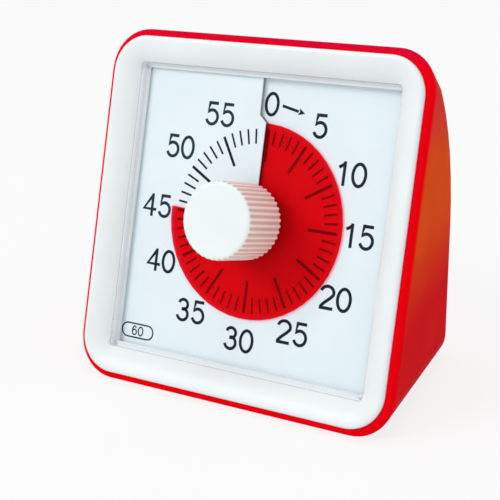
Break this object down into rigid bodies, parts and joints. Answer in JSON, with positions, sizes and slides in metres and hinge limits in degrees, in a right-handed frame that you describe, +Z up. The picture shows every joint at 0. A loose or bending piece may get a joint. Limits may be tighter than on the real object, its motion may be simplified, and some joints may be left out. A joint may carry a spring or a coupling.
{
  "type": "visual countdown timer",
  "caption": "Wedge-shaped tabletop timer with a square white dial under a clear lens, a ribbed centre knob and a red disc sector that shrinks as the set minutes run down.",
  "frame": {"origin": "middle of the footprint, on the surface that the timer stands on", "axes": "+Z up, -Y towards the person who reads the dial, +X to that person's right"},
  "size_m": [0.078, 0.045, 0.073],
  "materials": {
    "case_red": "glossy",
    "bezel_white": "glossy",
    "knob_white": "satin",
    "lens_clear": "clear",
    "card_white": "printed",
    "inner_white": "moulded",
    "film_red": "translucent film",
    "arbor_brass": "turned",
    "spring_steel": "bright",
    "gear_white": "moulded",
    "magnet_grey": "sintered",
    "stator_steel": "stamped",
    "coil_copper": "enamelled wire",
    "movement_grey": "moulded",
    "board_green": "solder mask",
    "chip_black": "epoxy",
    "can_steel": "drawn can",
    "part_black": "moulded",
    "cell_wrap": "printed wrap",
    "screw_steel": "zinc plated"
  },
  "bodies": {
    "case": {"rear_case": "case_red", "bezel": "bezel_white", "lens": "lens_clear", "dial_card": "card_white", "dial_plate": "inner_white", "movement_base": "movement_grey", "movement_cover": "movement_grey", "stator": "stator_steel", "coil_bobbin": "inner_white", "coil_winding": "coil_copper", "circuit_board": "board_green", "clock_chip": "chip_black", "quartz_crystal": "can_steel", "buzzer": "part_black", "switch_housing": "can_steel", "aa_cell": "cell_wrap", "positive_contact": "spring_steel", "negative_spring": "spring_steel", "case_screws": "screw_steel", "board_screws": "screw_steel"},
    "knob": {"knob": "knob_white", "knob_arbor": "arbor_brass", "clutch_spring": "spring_steel"},
    "film": {"red_film": "film_red", "film_hub": "inner_white"},
    "centre_wheel": {"centre_wheel": "gear_white"},
    "third_wheel": {"third_wheel": "gear_white"},
    "fourth_wheel": {"fourth_wheel": "gear_white"},
    "rotor": {"rotor_pinion": "gear_white", "rotor_magnet": "magnet_grey"},
    "battery_door": {"battery_door": "case_red"},
    "volume_switch": {"switch_slider": "part_black"}
  },
  "joints": [
    {"name": "knob_turn", "type": "hinge", "parent": "case", "child": "knob", "pos_m": [0, -0.00361, 0.0356], "axis": [0, -0.9336, 0.3584], "range_deg": [-88, 272]},
    {"name": "film_lift", "type": "slide", "parent": "knob", "child": "film", "axis": [0, -0.9336, 0.3584], "range_m": [-0.00084, 0.00029]},
    {"name": "third_spin", "type": "hinge", "parent": "case", "child": "third_wheel", "pos_m": [-0.00182, 0.00598, 0.043], "axis": [0, -0.9336, 0.3584], "continuous": true},
    {"name": "centre_spin", "type": "hinge", "parent": "case", "child": "centre_wheel", "pos_m": [0, 0.00152, 0.03363], "axis": [0, -0.9336, 0.3584], "continuous": true},
    {"name": "fourth_spin", "type": "hinge", "parent": "case", "child": "fourth_wheel", "pos_m": [0.00822, 0.0081, 0.04408], "axis": [0, -0.9336, 0.3584], "continuous": true},
    {"name": "rotor_spin", "type": "hinge", "parent": "case", "child": "rotor", "pos_m": [0.01272, 0.00606, 0.03651], "axis": [0, -0.9336, 0.3584], "continuous": true},
    {"name": "battery_door_hinge", "type": "hinge", "parent": "case", "child": "battery_door", "pos_m": [0, 0.02153, 0.0106], "axis": [-1, 0, 0], "range_deg": [0, 90]},
    {"name": "volume_slide", "type": "slide", "parent": "case", "child": "volume_switch", "axis": [1, 0, 0], "range_m": [-0.0026, 0.0026]}
  ],
  "couplings": [
    {"joint": "film_lift", "follows": "knob_turn", "m_per_rad": -0.00017507},
    {"joint": "centre_spin", "follows": "third_spin", "ratio": -0.16667},
    {"joint": "fourth_spin", "follows": "third_spin", "ratio": -7.5},
    {"joint": "rotor_spin", "follows": "third_spin", "ratio": 60}
  ]
}
